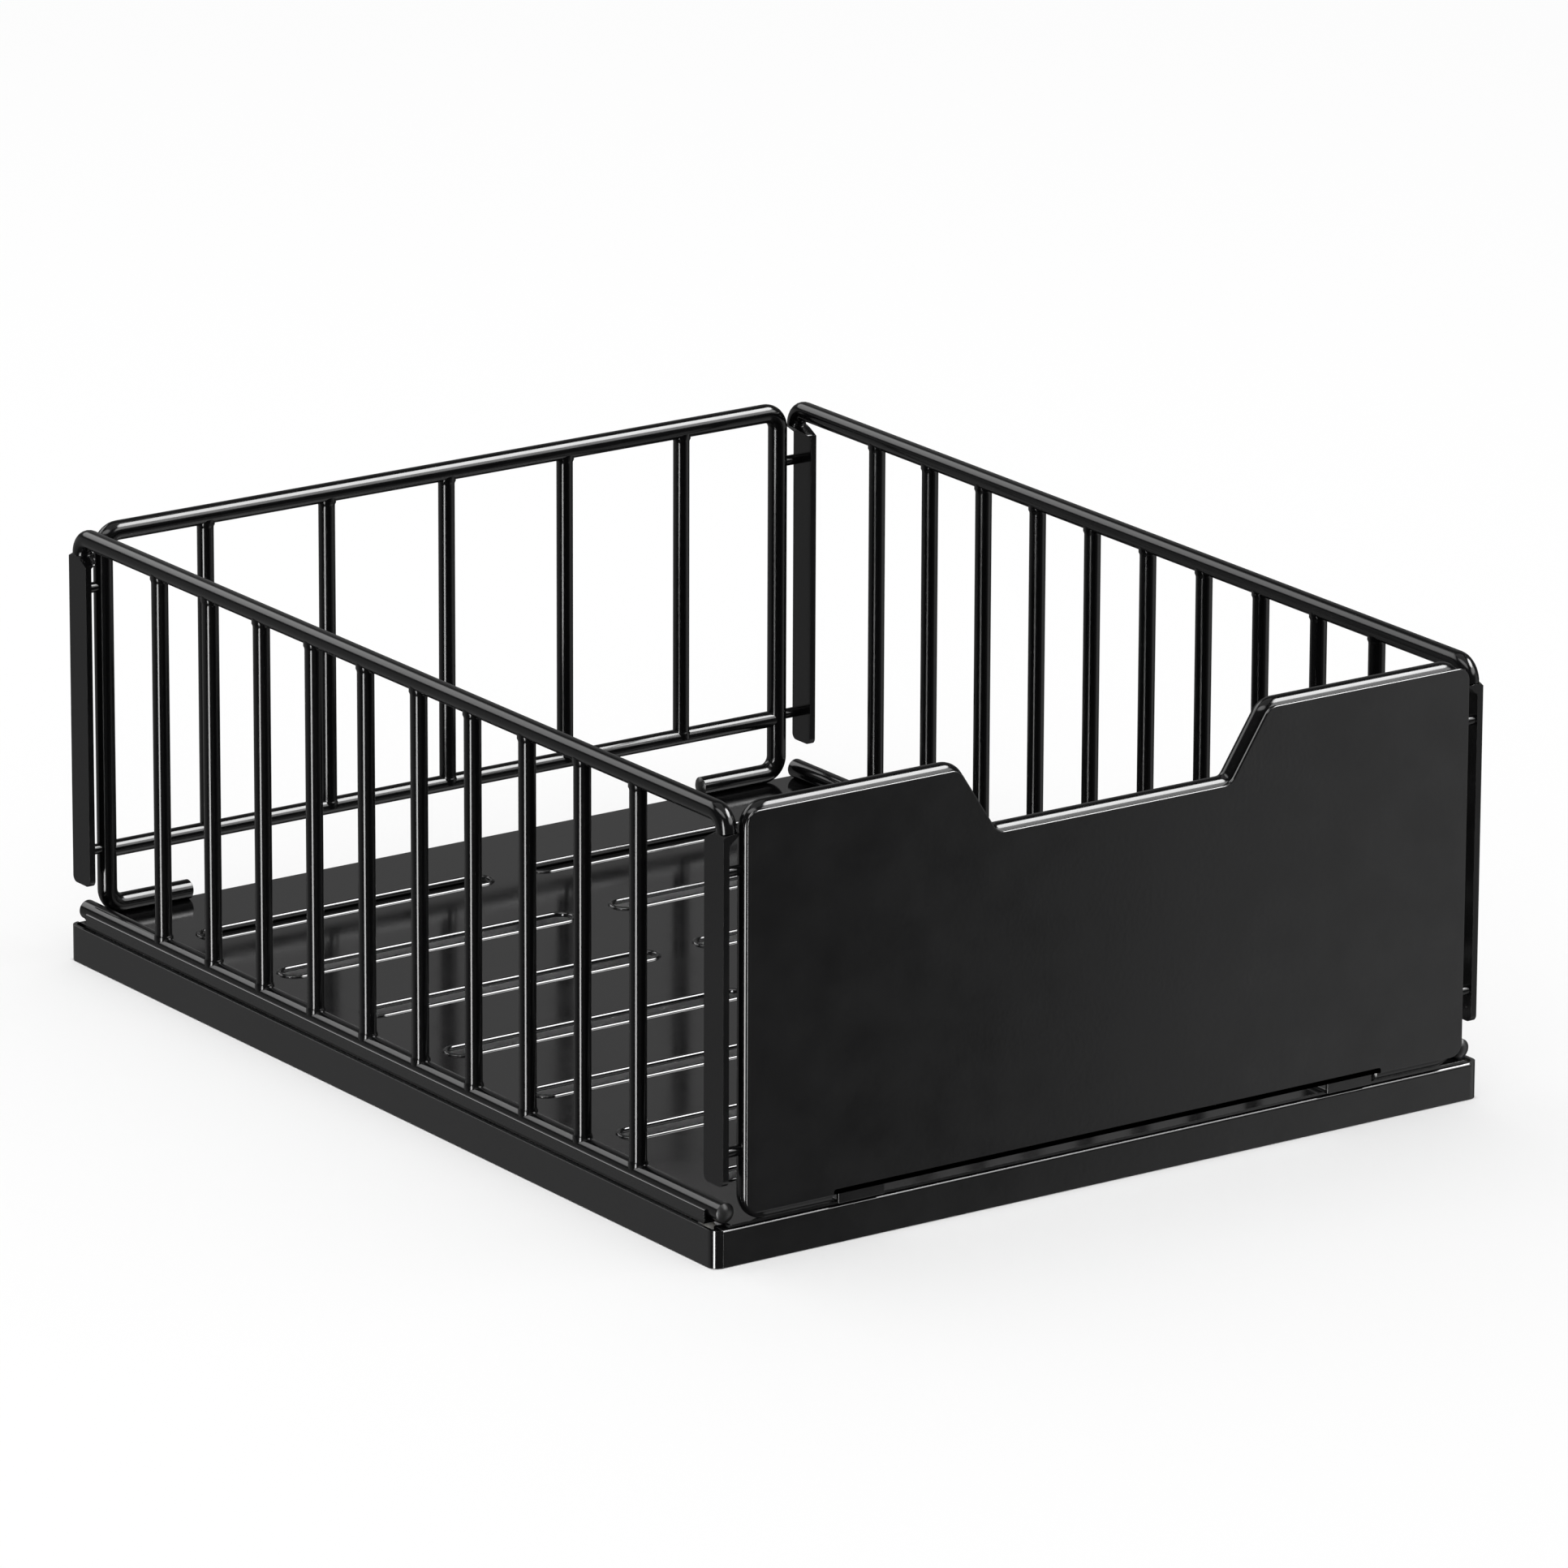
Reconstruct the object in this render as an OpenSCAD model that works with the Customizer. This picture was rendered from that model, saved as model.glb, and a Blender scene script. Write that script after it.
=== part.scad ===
// Pull-out basket for a kitchen cabinet: a fixed base frame that is screwed to
// the cabinet floor, four runner rollers, and a basket with barred sides and a
// solid notched front panel that rolls out towards the user.
// Axes: the front panel faces -Y, +X is to the right of it, +Z is up.
// Origin: middle of the footprint, on the cabinet floor.

/* [Base frame] */
// Width of the base frame
base_w = 339; // [300:1:400]
// Depth of the base frame
base_d = 430; // [390:1:500]
// Height of the base frame
base_h = 14; // [14:0.5:16]
// Thickness of the base sheet
base_t = 1.5; // [1:0.1:1.8]
// Radius of the base's corners
corner_r = 4; // [2.5:0.1:5]
// Width of the flanges that lie on the cabinet floor
flange_w = 26; // [24:1:34]
// Depth of the inward lip along the top of the front and rear rails
top_lip = 6; // [3:0.5:10]
// Diameter of the holes for the floor screws
screw_hole_d = 4.5; // [3.5:0.1:5.5]
// Distance of the floor screw holes from the inner edge of a flange
screw_edge = 6; // [5:0.5:8]
// Distance of the floor screw holes from the front and rear of the base
screw_end = 60; // [40:1:90]
// Diameter of the rivet shanks
rivet_d = 3.2; // [2.4:0.1:4]

/* [Runners] */
// Travel of the basket
travel = 290; // [200:5:300]
// Thickness of the channel and bracket steel
runner_t = 1.2; // [1:0.1:1.4]
// How far the channels' flanges reach inwards
channel_u = 6.5; // [6.4:0.1:7]
// Diameter of the four rollers
roller_d = 8.8; // [8.4:0.1:8.8]
// Diameter of the roller pins
pin_d = 3; // [2.4:0.1:3.4]

/* [Basket] */
// Height of the top rails above the cabinet floor
basket_h = 169; // [140:1:220]
// Distance of the basket's sides from the base's sides
side_inset = 2.9; // [2:0.1:5]
// How far the corner posts pass the ends of the base
end_overhang = 1.2; // [0.5:0.1:4]
// Diameter of the rails and of the end frames' tube
rail_d = 7.5; // [6:0.1:8]
// Wall of the tubes
tube_wall = 1; // [0.6:0.1:1.4]
// Bend radius of the tubes, on their centre line
bend_r = 6.5; // [6:0.5:9]
// Diameter of the upright bars
bar_d = 6.4; // [4:0.1:6.8]
// Number of upright bars on each side
side_bars = 10; // [6:1:12]
// Distance between the upright bars of a side
side_pitch = 35.1; // [28:0.1:36]
// Number of upright bars at the rear
rear_bars = 5; // [3:1:5]
// Distance between the upright bars at the rear
rear_pitch = 54.3; // [40:0.1:56]
// Height of the rear's lower rail above the cabinet floor
rear_low_z = 41; // [34:1:60]
// Thickness of the corner posts, which are the rails' flattened ends
post_x = 2.5; // [2:0.1:4]
// Depth of the corner posts
post_y = 12; // [10:0.1:16]
// Height of the corner posts' lower ends above the cabinet floor
post_z = 30; // [26:0.5:40]
// Gap between the rear frame's legs and the top rails
rear_leg_gap = 1.45; // [0.6:0.05:8]
// Gap between the front frame's legs and the top rails
front_leg_gap = 0.75; // [0.5:0.05:6]
// Length of the front frame's feet along the tray
foot_l = 34; // [18:0.1:40]
// Length of the rear frame's feet along the tray
rear_foot_l = 35.9; // [18:0.1:40]

/* [Tray] */
// Thickness of the tray sheet
tray_t = 1; // [0.8:0.1:1.4]
// Running gap between the base and the tray
tray_gap = 0.3; // [0.3:0.1:0.6]
// Distance of the tray's sides from the base's sides
tray_inset = 1.9; // [1.5:0.1:1.9]
// Height of the tray's side lips above the tray's underside
lip_h = 5.2; // [3:0.1:6]
// Distance of the lips' ends from the ends of the base
lip_end = 9; // [4:0.5:20]
// Number of slot rows in the tray
slot_rows = 7; // [3:1:7]
// Distance between the slot rows
slot_pitch = 56.4; // [40:0.1:57]
// Width of a slot
slot_w = 10; // [3:0.1:12]
// Distance of the slots' outer ends from the tray's sides
slot_margin = 28.6; // [28:0.1:50]
// Width of the bridge between the two columns of slots
slot_bridge = 20; // [8:1:40]

/* [Front panel] */
// How far the panel stands in front of the base
panel_proud = 3.9; // [3:0.1:8]
// Thickness of the panel sheet
panel_t = 1.5; // [1:0.1:2]
// Gap between the panel's sides and the top rails
panel_gap = 0.8; // [0.5:0.1:6]
// Height of the panel's lower edge above the cabinet floor, in the middle
panel_z = 21.1; // [19.6:0.1:26]
// How far the panel's lower edge steps down at both ends
panel_step = 1.9; // [1.2:0.1:2.2]
// Distance of these steps from the panel's sides
panel_step_in = 37.8; // [20:0.1:60]
// How far the frame's tube stands above the panel's upper edge
panel_drop = 2.2; // [1:0.1:3.5]
// Radius of the panel's corners
panel_r = 5; // [2:0.1:8]
// Half the width of the hand notch at its floor
notch_half = 51; // [40:0.5:60]
// Depth of the hand notch
notch_depth = 26; // [20:0.5:40]
// Slope of the notch's sides, in width for the whole depth
notch_run = 17; // [8:0.5:24]
// Radius of the notch's corners
notch_r = 6; // [3:0.5:9]

/* [Hidden] */
$fn = 48;
eps = 0.01;

overall_d = base_d + panel_proud + end_overhang;
base_y0 = -overall_d / 2 + panel_proud;
base_y1 = base_y0 + base_d;
mid_y = (base_y0 + base_y1) / 2;

// Heights, from the cabinet floor up
tray_z0 = base_h + tray_gap;
tray_z1 = tray_z0 + tray_t;
lip_top = tray_z0 + lip_h;
rail_z = basket_h - rail_d / 2;
low_rail_z = tray_z1 + rail_d / 2;
post_top = rail_z - bend_r;

// Places across the basket
post_out = base_w / 2 - side_inset;
post_in = post_out - post_x;
side_x = post_out - rail_d / 2;
side_in = post_out - rail_d;
rear_leg_x = side_in - rear_leg_gap - rail_d / 2;
front_leg_x = side_in - front_leg_gap - rail_d / 2;
panel_half = side_in - panel_gap;
tray_x = base_w / 2 - tray_inset;
end_rail_x = base_w / 2 - corner_r;

// Places along the basket
basket_y0 = base_y0 - end_overhang;
basket_y1 = base_y1 + end_overhang;
panel_y0 = base_y0 - panel_proud;
panel_y1 = panel_y0 + panel_t;
front_frame_y = panel_y1 + rail_d / 2;
rear_frame_y = basket_y1 - rail_d / 2;
rail_y0 = basket_y0 + rail_d / 2;
rail_y1 = basket_y1 - rail_d / 2;
tray_margin = 0.5;
tray_y0 = base_y0 + tray_margin;
tray_y1 = base_y1 - tray_margin;

// Plugs in the tubes' open ends
plug_l = 8;
plug_head = 1.5;

// Runner parts, measured inwards from the base's side wall and up from the floor
wall_x = base_w / 2 - base_t;
run_gap = 0.3;
channel_z0 = base_t + run_gap;
channel_h = roller_d + 2 * run_gap + 2 * runner_t;
channel_z1 = channel_z0 + channel_h;
end_flange = 14;
channel_y0 = base_y0 + end_flange + 6;
channel_y1 = base_y1 - end_flange - 1;
stop_l = 5;
stop_gap = 0.5;
pin_head_d = 5;
pin_head_t = 0.6;
pin_gap = 0.05;
roller_u0 = runner_t + pin_head_t + 2 * run_gap;
roller_u1 = channel_u - run_gap;
bracket_u0 = channel_u + run_gap;
bracket_u1 = bracket_u0 + runner_t;
rear_roller_y = channel_y1 - stop_l - stop_gap - roller_d / 2;
rear_roller_z = (channel_z0 + channel_z1) / 2;
front_roller_back = 13;
front_roller_y = base_y0 + front_roller_back;
front_roller_z = base_h - roller_d / 2;
open_stop_y = rear_roller_y - travel - roller_d / 2 - stop_gap;
open_stop_l = 2;

// A side is 1 for the right and -1 for the left.
module on_side(side) {
    if (side > 0) children();
    else mirror([1, 0, 0]) children();
}

// A box between two corners
module span(lo, hi) {
    translate(lo) cube(hi - lo);
}

// A rod of one diameter from one point to another, both in the XZ plane
module rod_xz(p, q, d) {
    run = q - p;
    translate([p.x, 0, p.y])
        rotate([0, 90 - atan2(run.y, run.x), 0])
            cylinder(h = norm(run), d = d);
}

// Unit direction from one point to the next along a path
function heading(path, i) = (path[i + 1] - path[i]) / norm(path[i + 1] - path[i]);
// Turn at a corner of a path, in degrees, positive to the left
function turn(path, i) =
    let (u = heading(path, i - 1), v = heading(path, i))
    atan2(u.x * v.y - u.y * v.x, u.x * v.x + u.y * v.y);
// Length that a bend takes off each straight run, zero at the path's ends
function setback(path, i, r) =
    (i == 0 || i == len(path) - 1) ? 0 : r * tan(abs(turn(path, i)) / 2);

// A bent tube's outer form along a path in the XZ plane
module bent_rod(path, r, d) {
    for (i = [0 : len(path) - 2]) {
        u = heading(path, i);
        rod_xz(path[i] + u * setback(path, i, r), path[i + 1] - u * setback(path, i + 1, r), d);
    }
    for (i = [1 : len(path) - 2]) {
        u = heading(path, i - 1);
        a = turn(path, i);
        side = sign(a);
        n = side * [-u.y, u.x];
        centre = path[i] - u * setback(path, i, r) + n * r;
        from = atan2(-n.y, -n.x) + (side > 0 ? 0 : a);
        translate([centre.x, 0, centre.y])
            rotate([90, 0, 0])
                rotate([0, 0, from])
                    rotate_extrude(angle = abs(a))
                        translate([r, 0]) circle(d = d);
    }
}

// A path with its two ends moved outwards, so that a bore runs through
function lengthened(path, by) =
    let (n = len(path) - 1)
    [for (i = [0 : n]) i == 0 ? path[0] - heading(path, 0) * by
                     : i == n ? path[n] + heading(path, n - 1) * by : path[i]];

module bent_tube(path, r) {
    difference() {
        bent_rod(path, r, rail_d);
        bent_rod(lengthened(path, 1), r, rail_d - 2 * tube_wall);
    }
}

// A rounded rectangle centred on the origin
module rounded_rect(w, h, r) {
    square([w - 2 * r, h], center = true);
    square([w, h - 2 * r], center = true);
    for (x = [-1, 1], y = [-1, 1])
        translate([x * (w / 2 - r), y * (h / 2 - r)]) circle(r = r);
}

// ---- Base frame ----

rivet_dy = (base_t + end_flange) / 2;
rivet_us = [11, 19];
rivet_xs = [for (u = rivet_us) wall_x - u];
rivet_head_h = 0.9;
rivet_head_d = 5.6;
screw_x = base_w / 2 - flange_w + screw_edge;
screw_ys = [base_y0 + screw_end, base_y1 - screw_end];

// The outline of the base with its rounded corners, drawn smaller by the amount given
module base_plan(smaller) {
    rounded_rect(base_w - 2 * smaller, base_d - 2 * smaller, corner_r - smaller);
}

// A side wall that is bent round both corners, with a flange on the cabinet floor
module base_side_rail(side) {
    color([0.09, 0.09, 0.09])
        on_side(side)
            difference() {
                union() {
                    translate([0, mid_y, 0])
                        linear_extrude(base_h)
                            intersection() {
                                difference() {
                                    base_plan(0);
                                    base_plan(base_t);
                                }
                                translate([end_rail_x, -base_d / 2]) square([corner_r, base_d]);
                            }
                    span([base_w / 2 - flange_w, base_y0 + base_t, 0],
                         [wall_x + eps, base_y1 - base_t, base_t]);
                }
                for (y = screw_ys)
                    translate([screw_x, y, -1]) cylinder(h = base_t + 2, d = screw_hole_d);
                for (x = rivet_xs, y = [base_y0 + rivet_dy, base_y1 - rivet_dy])
                    translate([x, y, -1]) cylinder(h = base_t + 2, d = rivet_d);
            }
}

// A cross rail at one end: its outer face is at y, and its flanges reach inwards by dir
module base_end_rail(y, dir) {
    color([0.07, 0.07, 0.07])
        translate([0, y, 0])
            mirror([0, dir > 0 ? 0 : 1, 0])
                difference() {
                    union() {
                        span([-end_rail_x, 0, 0], [end_rail_x, base_t, base_h]);
                        span([-end_rail_x, base_t - eps, base_t], [end_rail_x, end_flange, 2 * base_t]);
                        span([-end_rail_x, base_t - eps, base_h - base_t], [end_rail_x, top_lip, base_h]);
                    }
                    for (side = [-1, 1], x = rivet_xs)
                        translate([side * x, rivet_dy, 0])
                            cylinder(h = 3 * base_t, d = rivet_d);
                }
}

// Rivets with heads that join the end rails' flanges to the side rails' flanges
module base_rivets() {
    color([0.3, 0.3, 0.3])
        for (side = [-1, 1], x = rivet_xs, y = [base_y0 + rivet_dy, base_y1 - rivet_dy])
            translate([side * x, y, 0]) {
                cylinder(h = 2 * base_t, d = rivet_d);
                translate([0, 0, 2 * base_t]) cylinder(h = rivet_head_h, d = rivet_head_d);
            }
}

// ---- Runners ----

// Places a section, drawn as [inwards, up] from the base's side wall, along Y
module wall_section(side, y0, y1) {
    on_side(side)
        translate([wall_x, y1, 0])
            rotate([90, 0, 0])
                linear_extrude(y1 - y0)
                    mirror([1, 0]) children();
}

// Turns a form that stands on the XY plane so that it reaches inwards from the side wall
module from_wall(side, u, y, z) {
    on_side(side)
        translate([wall_x - u, y, z])
            rotate([0, -90, 0]) children();
}

// A C-shaped channel that opens inwards, with a pressed lug that stops the open basket
module channel(side) {
    color([0.12, 0.12, 0.13]) {
        wall_section(side, channel_y0, channel_y1)
            polygon([[0, channel_z0], [channel_u, channel_z0], [channel_u, channel_z0 + runner_t],
                     [runner_t, channel_z0 + runner_t], [runner_t, channel_z1 - runner_t],
                     [channel_u, channel_z1 - runner_t], [channel_u, channel_z1], [0, channel_z1]]);
        wall_section(side, open_stop_y - open_stop_l, open_stop_y)
            translate([runner_t - eps, channel_z0 + runner_t - eps])
                square([roller_u1 - runner_t, channel_h - 2 * runner_t + 2 * eps]);
    }
}

// Rubber blocks in the channels' rear ends, which stop the basket when it is shut
module channel_stops() {
    color([0.03, 0.03, 0.03])
        for (side = [-1, 1])
            wall_section(side, channel_y1 - stop_l, channel_y1)
                translate([runner_t, channel_z0 + runner_t])
                    square([roller_u1 - runner_t, channel_h - 2 * runner_t]);
}

// Pins on the base's side walls: a shoulder, the shank and a head
module front_roller_pins() {
    color([0.6, 0.6, 0.6])
        for (side = [-1, 1])
            from_wall(side, 0, front_roller_y, front_roller_z) {
                cylinder(h = roller_u0 - run_gap, d = pin_head_d);
                cylinder(h = roller_u1 + run_gap, d = pin_d);
                translate([0, 0, roller_u1 + run_gap]) cylinder(h = pin_head_t, d = pin_head_d);
            }
}

// Pins in the rear brackets: an outer head, the shank and a riveted tail
module rear_roller_pins() {
    color([0.6, 0.6, 0.6])
        for (side = [-1, 1])
            from_wall(side, runner_t + run_gap, rear_roller_y, rear_roller_z) {
                cylinder(h = pin_head_t, d = pin_head_d);
                cylinder(h = bracket_u1 - runner_t - run_gap, d = pin_d);
                translate([0, 0, bracket_u1 - runner_t - run_gap])
                    cylinder(h = pin_head_t, d = pin_head_d);
            }
}

module roller(side, y, z) {
    color([0.85, 0.85, 0.83])
        from_wall(side, roller_u0, y, z)
            difference() {
                cylinder(h = roller_u1 - roller_u0, d = roller_d);
                translate([0, 0, -1]) cylinder(h = roller_u1, d = pin_d + 2 * pin_gap);
            }
}

bracket_lift = 1.5;
bracket_flange = 9;
bracket_ahead = 16;
bracket_behind = 6;
bracket_end = 5;
bracket_z0 = channel_z0 + bracket_lift;
bracket_y0 = rear_roller_y - bracket_ahead;
bracket_y1 = rear_roller_y + bracket_behind;
bracket_rivet_u = bracket_u1 + bracket_flange / 2;
bracket_rivet_ys = [bracket_y0 + bracket_end, bracket_y1 - bracket_end];

// Steel angles under the tray's rear that carry the rear rollers
module rear_bracket(side) {
    color([0.14, 0.14, 0.15])
        difference() {
            wall_section(side, bracket_y0, bracket_y1) {
                translate([bracket_u0, bracket_z0]) square([runner_t, tray_z0 - bracket_z0]);
                translate([bracket_u1 - eps, tray_z0 - runner_t]) square([bracket_flange, runner_t]);
            }
            from_wall(side, bracket_u0 - 1, rear_roller_y, rear_roller_z)
                cylinder(h = runner_t + 2, d = pin_d);
            for (y = bracket_rivet_ys)
                translate([side * (wall_x - bracket_rivet_u), y, tray_z0 - runner_t - 1])
                    cylinder(h = runner_t + 2, d = rivet_d);
        }
}

// Flush rivets through the tray and the brackets' flanges
module bracket_rivets() {
    color([0.2, 0.2, 0.2])
        for (side = [-1, 1], y = bracket_rivet_ys)
            translate([side * (wall_x - bracket_rivet_u), y, tray_z0 - runner_t])
                cylinder(h = runner_t + tray_t, d = rivet_d);
}

// ---- Tray ----

slot_out = tray_x - slot_margin;
slot_l = slot_out - slot_bridge / 2;

module tray_slots() {
    for (side = [-1, 1], i = [0 : slot_rows - 1]) {
        y = mid_y + (i - (slot_rows - 1) / 2) * slot_pitch;
        translate([side * (slot_out - slot_l / 2), y, tray_z0 - 1])
            linear_extrude(tray_t + 2) rounded_rect(slot_l, slot_w, slot_w / 2 - eps);
    }
}

module tray() {
    color([0.1, 0.1, 0.1])
        difference() {
            union() {
                span([-tray_x, base_y0 + lip_end, tray_z0], [tray_x, base_y1 - lip_end, tray_z1]);
                span([-side_x, tray_y0, tray_z0], [side_x, tray_y1, tray_z1]);
                for (side = [-1, 1])
                    on_side(side)
                        span([tray_x - tray_t, base_y0 + lip_end, tray_z0],
                             [tray_x, base_y1 - lip_end, lip_top]);
            }
            tray_slots();
            for (side = [-1, 1], y = bracket_rivet_ys)
                translate([side * (wall_x - bracket_rivet_u), y, tray_z0 - 1])
                    cylinder(h = tray_t + 2, d = rivet_d);
        }
}

// ---- Side walls of the basket ----

module low_rail_form(d, by) {
    translate([0, mid_y - low_rail_l / 2 - by, low_rail_z])
        rotate([-90, 0, 0]) cylinder(h = low_rail_l + 2 * by, d = d);
}
low_rail_l = base_d - 6;

module bottom_rail(side) {
    color([0.1, 0.1, 0.1])
        translate([side * side_x, 0, 0])
            difference() {
                low_rail_form(rail_d, 0);
                low_rail_form(rail_d - 2 * tube_wall, 1);
            }
}

// The top rail's centre line, as [along, up] points
top_path = [[rail_y0, post_top], [rail_y0, rail_z], [rail_y1, rail_z], [rail_y1, post_top]];

module top_rail(side) {
    color([0.1, 0.1, 0.1])
        translate([side * side_x, 0, 0])
            rotate([0, 0, 90]) bent_tube(top_path, bend_r);
}

// Upright bars: their ends are cut to the shape of the two rails that they are welded to
module side_bars(side) {
    color([0.1, 0.1, 0.1])
        translate([side * side_x, 0, 0])
            difference() {
                for (i = [0 : side_bars - 1])
                    translate([0, mid_y + (i - (side_bars - 1) / 2) * side_pitch, low_rail_z])
                        cylinder(h = rail_z - low_rail_z, d = bar_d);
                low_rail_form(rail_d, 0);
                translate([0, mid_y - low_rail_l / 2, rail_z])
                    rotate([-90, 0, 0]) cylinder(h = low_rail_l, d = rail_d);
            }
}

post_end_r = 2.5;
neck_h = 4;
neck_r = post_y - rail_d / 4;
flat_top = post_top - neck_h;

// The outline of a post from its narrow side: flat below, as wide as the rail at its neck
module post_profile() {
    translate([post_in, post_z - 1]) square([post_x, flat_top - post_z + 1 + eps]);
    polygon([[post_in, flat_top], [post_out, flat_top], [post_out, post_top], [side_in, post_top]]);
}

// A corner post at the front (end is -1) or the rear (end is 1): the flattened end of the top rail
module post(side, end) {
    y = end < 0 ? basket_y0 : basket_y1 - post_y;
    color([0.13, 0.13, 0.13])
        on_side(side)
            intersection() {
                translate([0, y + post_y, 0])
                    rotate([90, 0, 0]) linear_extrude(post_y) post_profile();
                union() {
                    translate([post_out - rail_d, y, (post_z + flat_top) / 2])
                        rotate([90, 0, 90])
                            linear_extrude(rail_d)
                                translate([post_y / 2, 0])
                                    rounded_rect(post_y, flat_top - post_z, post_end_r);
                    translate([post_out - rail_d, y, flat_top - post_end_r - eps])
                        cube([rail_d, post_y, post_end_r + 2 * eps]);
                    translate([side_x, end < 0 ? rail_y0 : rail_y1, flat_top])
                        cylinder(h = neck_h, r1 = neck_r, r2 = rail_d / 2);
                }
            }
}

// ---- End frames ----

module rear_frame() {
    color([0.1, 0.1, 0.1])
        translate([0, rear_frame_y, 0])
            bent_tube([[-rear_leg_x + rear_foot_l, low_rail_z], [-rear_leg_x, low_rail_z],
                       [-rear_leg_x, rail_z], [rear_leg_x, rail_z],
                       [rear_leg_x, low_rail_z], [rear_leg_x - rear_foot_l, low_rail_z]], bend_r);
}

module rear_lower_rail() {
    color([0.1, 0.1, 0.1])
        translate([0, rear_frame_y, 0])
            difference() {
                rod_xz([-rear_leg_x, rear_low_z], [rear_leg_x, rear_low_z], bar_d);
                for (side = [-1, 1])
                    rod_xz([side * rear_leg_x, low_rail_z], [side * rear_leg_x, rail_z], rail_d);
            }
}

module rear_bars() {
    color([0.1, 0.1, 0.1])
        translate([0, rear_frame_y, 0])
            difference() {
                for (i = [0 : rear_bars - 1])
                    translate([(i - (rear_bars - 1) / 2) * rear_pitch, 0, rear_low_z])
                        cylinder(h = rail_z - rear_low_z, d = bar_d);
                rod_xz([-rear_leg_x, rear_low_z], [rear_leg_x, rear_low_z], bar_d);
                rod_xz([-rear_leg_x, rail_z], [rear_leg_x, rail_z], rail_d);
            }
}

// The notch's rim runs inside the panel's edge by the same drop as the top rail
panel_z1 = basket_h - panel_drop;
rim_in = rail_d / 2 - panel_drop;
notch_floor = panel_z1 - notch_depth;
rim_x0 = notch_half + notch_run + rim_in;
rim_x1 = notch_half + rim_in;

// Everything on one side of a plane that stands on the XZ plane at a point
module beyond(p, facing, d) {
    translate([p.x, 0, p.y])
        rotate([0, -atan2(facing.y, facing.x), 0])
            translate([0, -d, -3 * d]) cube([4 * d, 2 * d, 6 * d]);
}

// The notch's rim as straight rods that are mitred where they meet
notch_path = [[-rim_x0, rail_z], [-rim_x1, rail_z - notch_depth],
              [rim_x1, rail_z - notch_depth], [rim_x0, rail_z]];
function mitre(u, v) = (u + v) / norm(u + v);
end_mitre = mitre([1, 0], heading(notch_path, 0));

// One straight rod of the notch's rim, counted from the left
module notch_rod(i) {
    u = heading(notch_path, i);
    m0 = i == 0 ? end_mitre : mitre(heading(notch_path, i - 1), u);
    m1 = i == 2 ? [end_mitre.x, -end_mitre.y] : mitre(u, heading(notch_path, i + 1));
    color([0.1, 0.1, 0.1])
        translate([0, front_frame_y, 0])
            difference() {
                rod_xz(notch_path[i] - u * rail_d, notch_path[i + 1] + u * rail_d, rail_d);
                beyond(notch_path[i], -m0, rail_d);
                beyond(notch_path[i + 1], m1, rail_d);
            }
}

// A bent leg with its foot, bored for the plug, that is mitred to the notch rim
module front_leg(side) {
    color([0.1, 0.1, 0.1])
        on_side(side)
            translate([0, front_frame_y, 0])
                difference() {
                    bent_rod([[front_leg_x - foot_l, low_rail_z], [front_leg_x, low_rail_z],
                              [front_leg_x, rail_z], [rim_x0 - rail_d, rail_z]], bend_r, rail_d);
                    beyond(notch_path[3], [-end_mitre.x, end_mitre.y], rail_d);
                    rod_xz([front_leg_x - foot_l - 1, low_rail_z],
                           [front_leg_x - foot_l + plug_l + 1, low_rail_z], rail_d - 2 * tube_wall);
                }
}

// An outline with its corners rounded by arcs of the given radii
arc_steps = 6;
function corner_arc(p, q, r, radius) =
    let (u = (q - p) / norm(q - p), v = (r - q) / norm(r - q),
         a = atan2(u.x * v.y - u.y * v.x, u.x * v.x + u.y * v.y),
         s = sign(a), n = s * [-u.y, u.x],
         c = q - u * radius * tan(abs(a) / 2) + n * radius,
         from = atan2(-n.y, -n.x))
    [for (k = [0 : arc_steps]) c + radius * [cos(from + a * k / arc_steps), sin(from + a * k / arc_steps)]];
function rounded_outline(points, radii) =
    [for (i = [0 : len(points) - 1])
        each corner_arc(points[(i + len(points) - 1) % len(points)], points[i],
                        points[(i + 1) % len(points)], radii[i])];

notch_top = notch_half + notch_run;
step_x = panel_half - panel_step_in;
step_z = panel_z - panel_step;
step_r = 0.5;
panel_points = [[-panel_half, step_z], [-step_x, step_z], [-step_x, panel_z],
                [step_x, panel_z], [step_x, step_z], [panel_half, step_z], [panel_half, panel_z1],
                [notch_top, panel_z1], [notch_half, notch_floor], [-notch_half, notch_floor],
                [-notch_top, panel_z1], [-panel_half, panel_z1]];
panel_radii = [panel_r, step_r, step_r, step_r, step_r, panel_r, panel_r,
               notch_r, notch_r, notch_r, notch_r, panel_r];

module front_panel() {
    color([0.08, 0.08, 0.08])
        translate([0, panel_y1, 0])
            rotate([90, 0, 0])
                linear_extrude(panel_t)
                    polygon(rounded_outline(panel_points, panel_radii));
}

angle_w = 20;
angle_t = 1.5;
angle_gap = 1.1;
angle_x = front_leg_x - foot_l - plug_head - angle_gap - angle_w / 2;
angle_foot = 14;
angle_up = 14;

// Steel angles that carry the panel's lower edge on the tray
module panel_brackets() {
    color([0.12, 0.12, 0.12])
        for (side = [-1, 1])
            translate([side * angle_x - angle_w / 2, panel_y1, tray_z1]) {
                cube([angle_w, angle_t, panel_z + angle_up - tray_z1]);
                cube([angle_w, tray_y0 + angle_foot - panel_y1, angle_t]);
            }
}

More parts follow.
